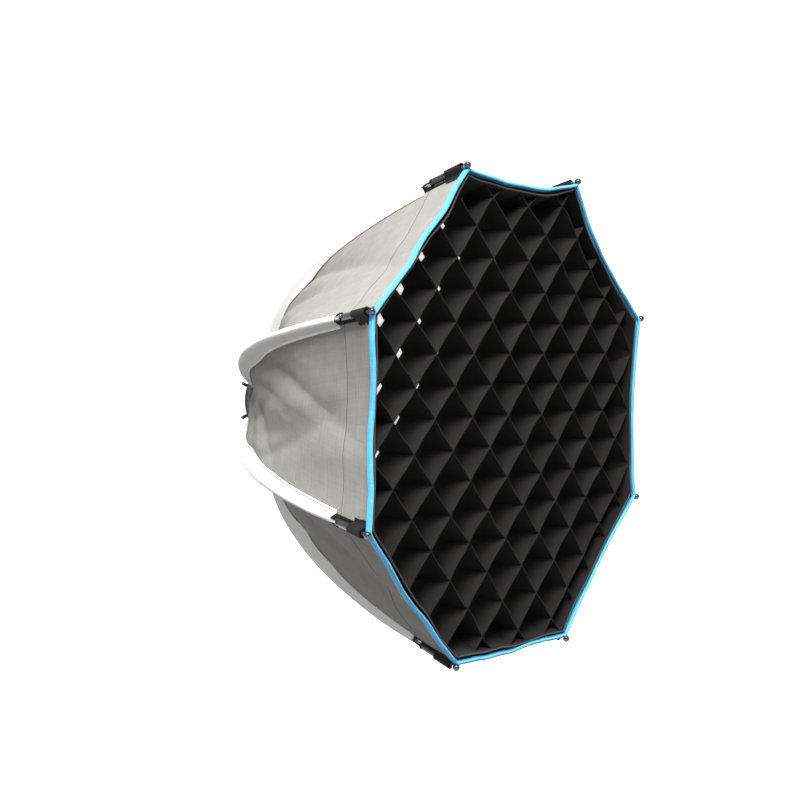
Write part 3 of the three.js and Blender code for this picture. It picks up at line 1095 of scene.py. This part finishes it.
def turned_along_rib(k, name, outline, look, sides=28, sharp=40):
    """A piece turned about rib k's last stretch. Its outline is (distance back from the ball,
    radius), in millimetres."""
    origin = in_rib_plane(k, *TIP)
    back = in_rib_plane(k, -TIP_WAY[0], -TIP_WAY[1])
    side = across_way(k)
    up = np.cross(back, side)
    turned, faces = turned_mesh([(r * MM, d * MM) for d, r in outline], sides)
    verts = origin + turned[:, :1] * side + turned[:, 1:2] * up + turned[:, 2:] * back
    faces = faces + [list(range(sides))[::-1], list(range(len(verts) - sides, len(verts)))]
    return add_object(name, verts, faces, LOOKS[look], f"rib_{k + 1}", sharp)


def make_tip(k):
    """Ferrule, bright neck and ball."""
    ferrule = turned_along_rib(k, f"ferrule_{k + 1}", FERRULE_OUTLINE, "gloss")
    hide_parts(f"rib_tip_{k + 1}")
    bright = turned_along_rib(k, f"tip_neck_{k + 1}", NECK_OUTLINE, "screw")
    turns = np.linspace(0, math.pi, 19)
    radius = BALL / MM
    round_line = [(radius * math.cos(t), max(radius * math.sin(t), 0.05)) for t in turns]
    ball = turned_along_rib(k, f"tip_ball_{k + 1}", round_line, "ball", sharp=80)


def make_rod(k):
    """The bowed steel rod, from its socket to the ferrule."""
    path, up = rib_path(k, 6.3 * MM, BALL_AT - FERRULE_START - 0.3 * MM, 70)
    side = np.broadcast_to(across_way(k), path.shape)
    verts, faces = sweep(path, side, up, round_profile(ROD_RADIUS, 16))
    piece = add_object(f"rod_{k + 1}", verts, faces, LOOKS["rod"], f"rib_{k + 1}", 60)
    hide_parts(f"rib_rod_{k + 1}")


def make_tab(k):
    """The webbing folded over the rib's neck and sewn down to the canopy's corner on both sides."""
    right = np.array(TAB_OUTLINE) * MM
    line = np.vstack([right, (right[:-1] * [-1, 1])[::-1]])
    outer = smooth_line(line, 33)
    inner = outer * [0.72, 1] - [0, 1.1 * MM]
    count = 14
    back = np.linspace(TAB[1], TAB[0] - 2 * MM, count)
    path, up = rib_path(k, BALL_AT - TAB[1], BALL_AT - TAB[0], count)
    side = np.broadcast_to(across_way(k), path.shape)
    share = (back - back.min()) / (back.max() - back.min())
    flare = 1 + 0.1 * np.cos(share * math.pi) + 0.04 * ripple(back * 400, back * 0, 500 + k)

    def placed(profile):
        return (
            path[:, None, :]
            + profile[None, :, 0:1] * flare[:, None, None] * side[:, None, :]
            + profile[None, :, 1:2] * up[:, None, :]
        )

    top = placed(outer)
    normals = grid_normals(top, up)
    piece = shell(f"tip_tab_{k + 1}", top, placed(inner), normals, ["webbing"], f"rib_{k + 1}")
    declare(top)


def make_tip_strip(k):
    """The webbing sewn along the canopy's corner, under the ferrule and the tab."""
    back = np.linspace(SLEEVE_END + 4 * MM, STRIP_FRONT, 40)
    path, up = rib_path(k, BALL_AT - back[0], BALL_AT - back[-1], len(back), lift=-UNDER)
    side = np.broadcast_to(across_way(k), path.shape)
    top = np.where(back > FERRULE_START, STRIP_RISE, 0.1 * MM)
    right = np.array(STRIP_OUTLINE) * MM
    shape = np.vstack([right, right[::-1] * [-1, 1]])
    raised = np.array([0, 0, 1, 1, 0, 0])
    heights = shape[None, :, 1] + raised[None, :] * top[:, None]
    points = path[:, None, :] + shape[:, :1] * side[:, None, :] + heights[..., None] * up[:, None, :]
    _, faces = sweep(path, side, up, shape)
    piece = add_object(
        f"tip_strip_{k + 1}", points.reshape(-1, 3), faces, LOOKS["webbing"], f"rib_{k + 1}", 40
    )
    return piece


def make_cord_loop(k):
    """The black cord that ties the sleeve's end to the back of the ferrule."""
    forward, across, lift = np.array(LOOP_LINE).T * MM
    r, y, wr, wy = rib_at(BALL_AT - SLEEVE_END + forward)
    parts = []
    for way in (-1, 1):
        line = smooth_line(in_rib_plane(k, r - wy * lift, y + wr * lift, across * way), 24)
        side, up = path_frames(line, across_way(k))
        parts.append(sweep(line, side, up, round_profile(LOOP_RADIUS, 8)))
    verts, faces = joined(parts)
    piece = add_object(f"tip_loop_{k + 1}", verts, faces, LOOKS["webbing"], f"rib_{k + 1}", 60)
    return piece


# ---------------------------------------------------------------- grid, diffuser and baffle


def grid_corner(y):
    """The grid's corner radius at depth y: inside the canopy, with room for the lip."""
    radius = TIP[0] - (y - TIP[1]) * math.tan(TIP_SLOPE)
    return radius - (UNDER + CLOTH) / math.cos(TIP_SLOPE) - GRID_INSET / math.cos(RIB_STEP / 2)


def edge_shift(points, v=1.0):
    """How far the canopy's slack moves it at v, at each point's angle about the axis."""
    turn = (np.arctan2(points[..., 2], points[..., 0]) - FIRST_RIB) / RIB_STEP
    gores = np.floor(turn).astype(int) % RIBS
    slant = (turn - np.floor(turn) - 0.5) * RIB_STEP
    w = 0.5 + 0.5 * np.tan(slant) / math.tan(RIB_STEP / 2)
    shift = np.zeros(points.shape)
    for gore in range(RIBS):
        here = gores == gore
        straight = in_gore_chord(gore, w[here], v)
        shift[here] = canopy_at(gore, w[here], v, UNDER) - straight
    return shift


def in_gore_chord(gore, w, v):
    """Points of a straight line at v from one rib to the next."""
    starts = canopy_at(gore, np.array([0.0, 1.0]), v, UNDER)
    return starts[0] + (starts[1] - starts[0]) * w[..., None]


def loosened(points):
    """The cloth grid's unevenness: every wall shares it. The border hangs with the canopy's edge."""
    x, y, z = points[..., 0], points[..., 1], points[..., 2]
    out = np.clip(np.hypot(x, z) / GRID_SPREAD, 0, 1)[..., None] ** 5
    moved = points + out * edge_shift(points)
    size = (0.8 + 0.8 * out[..., 0]) * MM
    moved[..., 0] += size * ripple(x * 38, z * 38, 11)
    moved[..., 2] += size * ripple(x * 38, z * 38, 12)
    depth = (y - GRID_FRONT) / (GRID_REAR - GRID_FRONT)
    high = np.clip(0.6 + z / 0.2, 0, 1)
    by_edge = (np.hypot(x, z) - GRID_SHORT_FROM) / (GRID_SHORT_BY - GRID_SHORT_FROM)
    moved[..., 1] -= GRID_SHORT * depth * high * np.clip(by_edge, 0, 1)
    return moved


def grid_strip(along, off, offset, seed):
    """One strip of the grid, as rows of points from its front edge to its rear one."""
    depth = np.linspace(0, 1, GRID_ROWS)[:, None]
    rows = []
    for y in np.linspace(GRID_FRONT, GRID_REAR, GRID_ROWS):
        low, high = chord(along, off, offset, grid_corner(y))
        reach = np.linspace(low, high, GRID_COLUMNS)
        rows.append(off * offset + reach[:, None] * along + np.array([0, y, 0]))
    sheet = np.array(rows)
    free = np.abs(np.sin(math.pi * (reach - GRID_NODE_X * along[0]) / GRID_PITCH))
    sheet[..., 1] += (1 - depth) ** 2 * free * GRID_DIP
    belly = ripple(reach * 45, 2 * depth, seed) * free * GRID_BELLY
    sheet += belly[..., None] * off
    return loosened(sheet)


def make_grid():
    """The eggcrate: two families of cloth strips that cross, all inside the octagon."""
    apothem = grid_corner(GRID_FRONT) * math.cos(RIB_STEP / 2)
    strips, places, total = [], [], 0.0
    for slant in (math.pi / 4, -math.pi / 4):
        along = np.array([math.cos(slant), 0, math.sin(slant)])
        off = np.array([-math.sin(slant), 0, math.cos(slant)])
        for i in range(-GRID_STRIPS, GRID_STRIPS + 1):
            offset = GRID_NODE_X * off[0] + i * GRID_PITCH
            if abs(offset) > apothem - GRID_LEAST_GAP:
                continue
            sheet = grid_strip(along, off, offset, 600 + i + 40 * (slant > 0))
            strips.append(wall_mesh(sheet, off))
            places.append(np.tile(cloth_places(sheet), (2, 1)))
            total += cloth_area(sheet)
    verts, faces = joined(strips)
    piece = add_object("grid_walls", verts, faces, LOOKS["black"], "grid", 60, np.vstack(places))
    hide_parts("grid")


def chord(along, off, offset, corner):
    """Where the line at that offset enters and leaves the octagon with that corner radius."""
    apothem = corner * math.cos(RIB_STEP / 2)
    low, high = -1.0, 1.0
    for side in range(RIBS):
        a = side * RIB_STEP
        n = np.array([math.cos(a), 0, math.sin(a)])
        slope, start = n @ along, n @ off * offset
        if abs(slope) < 1e-9:
            continue
        hit = (apothem - start) / slope
        if slope > 0:
            high = min(high, hit)
        else:
            low = max(low, hit)
    return low, high


def wall_mesh(sheet, off):
    """A cloth wall with a folded front edge, as points and faces."""
    half = np.full(len(sheet), GRID_WALL / 2)
    half[0] = 0.6 * GRID_WALL
    push = half[:, None, None] * off
    faces, _ = shell_faces(sheet + push, np.broadcast_to(off, sheet.shape))
    return np.vstack([(sheet + push).reshape(-1, 3), (sheet - push).reshape(-1, 3)]), faces.tolist()


def octagon_ring(corner_radius, y, per_side=24):
    """Points round an octagon, corner to corner, closely enough to bend."""
    points = []
    for k in range(RIBS):
        p, q = in_rib_plane(k, corner_radius, y), in_rib_plane(k + 1, corner_radius, y)
        points += [p + (q - p) * t for t in np.arange(per_side) / per_side]
    return np.array(points)


def make_grid_border():
    """The band round the grid, with a thin grey piping along its front edge."""
    depths = np.linspace(GRID_FRONT - BORDER_RISE, GRID_REAR, 6)
    rows = [octagon_ring(grid_corner(y), y) for y in depths]
    sheet = loosened(np.array(rows))
    sheet = np.concatenate([sheet, sheet[:, :1]], axis=1)
    out = sheet / np.hypot(sheet[..., 0], sheet[..., 2])[..., None]
    out[..., 1] = 0
    piece = shell("grid_border", sheet, sheet - out * 0.9 * MM, out, ["black"], "grid")
    line = sheet[0, :-1].copy()
    line[:, 1] -= 0.3 * MM
    side, up = path_frames(line, (0, -1, 0), ring=True)
    verts, faces = sweep(line, side, up, round_profile(0.9 * MM, 10), ring=True)
    piping = add_object("grid_piping", verts, faces, LOOKS["piping"], "grid", 60)
    declare(sheet)


def make_octagon_sheet(body, node, corner_radius, y, wave, seed, hung=True):
    """A taut octagonal sheet with a little slack in it, as rings of points about its centre. One
    that is hung all round follows the canopy's slack."""
    shares = np.linspace(0.02, 1, 26)
    ring = octagon_ring(corner_radius, y, 20)
    ring = np.vstack([ring, ring[:1]])
    sheet = np.array([ring * [s, 1, s] for s in shares])
    x, z = sheet[..., 0], sheet[..., 2]
    sheet[..., 1] += wave * ripple(x * 22, z * 22, seed) * (1 - shares[:, None] ** 4)
    if hung:
        sheet += slack(sheet, y) * shares[:, None, None] ** 5
    normals = np.zeros_like(sheet)
    normals[..., 1] = -1
    piece = shell(f"{body}_sheet", sheet, sheet + [0, 0.5 * MM, 0], normals, ["white"], body)
    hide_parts(node)


def slack(points, y):
    """How far the canopy beside points at depth y moves sideways with its slack."""
    shift = edge_shift(points, (PIVOT[1] - y) / (PIVOT[1] - TIP[1]))
    return shift * [1, 0, 1]


def make_edge_band(body, corner_radius, y, hung=True):
    """The tape sewn round the edge of an octagonal sheet."""
    ring = octagon_ring(corner_radius, y, 24)
    if hung:
        ring += slack(ring, y)
    side, up = path_frames(ring, (0, -1, 0), ring=True)
    verts, faces = sweep(ring, side, up, round_profile(2.2 * MM, 12, 0.35), ring=True)
    piece = add_object(f"{body}_edge", verts, faces, LOOKS["black"], body, 60)
    return piece


def make_baffle_straps():
    """The elastic straps that hang the baffle from the ribs."""
    profile = np.array(STRAP_OUTLINE) * MM
    parts = []
    for k in range(RIBS):
        start = BAFFLE_RADIUS - 3 * MM
        end = np.interp(-BAFFLE_Y, -RIB_POINTS[:, 1], RIB_POINTS[:, 0]) - UNDER - 2 * MM
        line = in_rib_plane(k, np.linspace(start, end, 12), BAFFLE_Y)
        line[:, 1] += 0.8 * MM * np.sin(np.linspace(0, math.pi, 12))
        side = np.broadcast_to(across_way(k), line.shape)
        up = np.broadcast_to([0.0, 1.0, 0.0], line.shape)
        parts.append(sweep(line, side, up, profile))
    verts, faces = joined(parts)
    piece = add_object("baffle_straps", verts, faces, LOOKS["webbing"], "baffle", 60)
    return piece


def make_diffuser():
    """The white front diffuser and the tape round it."""
    edge = make_edge_band("diffuser", DIFFUSER_RADIUS, DIFFUSER_Y)
    make_octagon_sheet(
        "diffuser", "front_diffuser", DIFFUSER_RADIUS, DIFFUSER_Y, 0.8 * MM, 21
    )


def make_baffle():
    """The inner baffle with its tape and its straps."""
    trim = [make_edge_band("baffle", BAFFLE_RADIUS, BAFFLE_Y, hung=False), make_baffle_straps()]
    make_octagon_sheet(
        "baffle", "inner_baffle", BAFFLE_RADIUS, BAFFLE_Y, 1.2 * MM, 22, hung=False
    )


# ---------------------------------------------------------------- hub


def finish_cad_node(name, look, bevel=0.35 * MM):
    """A CAD node that shows as it is: smooth where it is round, with softened edges, or with plain
    sharp ones where the bevel is none."""
    node = frame["nodes"][name]
    node.data.materials.clear()
    node.data.materials.append(LOOKS[look])
    node.data.shade_smooth()
    merge = node.modifiers.new("merge", "WELD")
    merge.merge_threshold = 0.00001
    if not bevel:
        split = node.modifiers.new("split", "EDGE_SPLIT")
        split.split_angle = math.radians(30)
        return
    soften = node.modifiers.new("soften", "BEVEL")
    soften.width = bevel
    soften.segments = 2
    soften.limit_method = "ANGLE"
    soften.angle_limit = math.radians(30)
    soften.harden_normals = True


def make_release_lever(k):
    """The small lever with a ball at its end that works a rib's release button."""
    radius, y = np.array(LEVER_LINE).T * MM
    line = smooth_line(in_rib_plane(k, radius, y), 16)
    up, side = path_frames(line, across_way(k))
    bar = sweep(line, side, up, round_profile(LEVER_RADIUS, 14, 0.7))
    turns = np.linspace(0, math.pi, 11)
    verts, faces = turned_mesh([(max(math.sin(t), 0.02), math.cos(t)) for t in turns], 16)
    knob = (verts * LEVER_KNOB + line[-1], faces)
    verts, faces = joined([bar, knob])
    piece = add_object(f"release_lever_{k + 1}", verts, faces, LOOKS["gloss"], f"button_{k + 1}", 40)


def make_hub_finish():
    finish_cad_node("mount_ring", "anodised", bevel=None)
    finish_cad_node("hub_body", "plastic")
    finish_cad_node("hub_cover", "plastic")
    for k in range(1, 5):
        finish_cad_node(f"hub_screw_{k}", "screw", 0.2 * MM)
    for k in range(1, RIBS + 1):
        finish_cad_node(f"rib_pin_{k}", "screw", 0.2 * MM)
        finish_cad_node(f"rib_socket_{k}", "plastic", 0.5 * MM)
        finish_cad_node(f"release_button_{k}", "button", 0.5 * MM)


# ---------------------------------------------------------------- assembly


def build():
    make_camera()
    make_world()
    make_stage()
    area_light("key", *KEY_LIGHT)
    area_light("fill", *FILL_LIGHT)
    for k in range(RIBS):
        front_trim = [*make_binding(k), make_sewn_line(k), make_tip_strip(k)]
        make_canopy(k, [make_hem(k)])
        make_lip(k)
        make_sleeve(k, make_cord_loop(k))
        make_rod(k)
        make_tip(k)
        make_tab(k)
    make_grid()
    make_grid_border()
    make_diffuser()
    make_baffle()
    make_hub_finish()
    for k in range(RIBS):
        make_release_lever(k)
    bpy.context.scene.view_settings.view_transform = "Standard"


build()
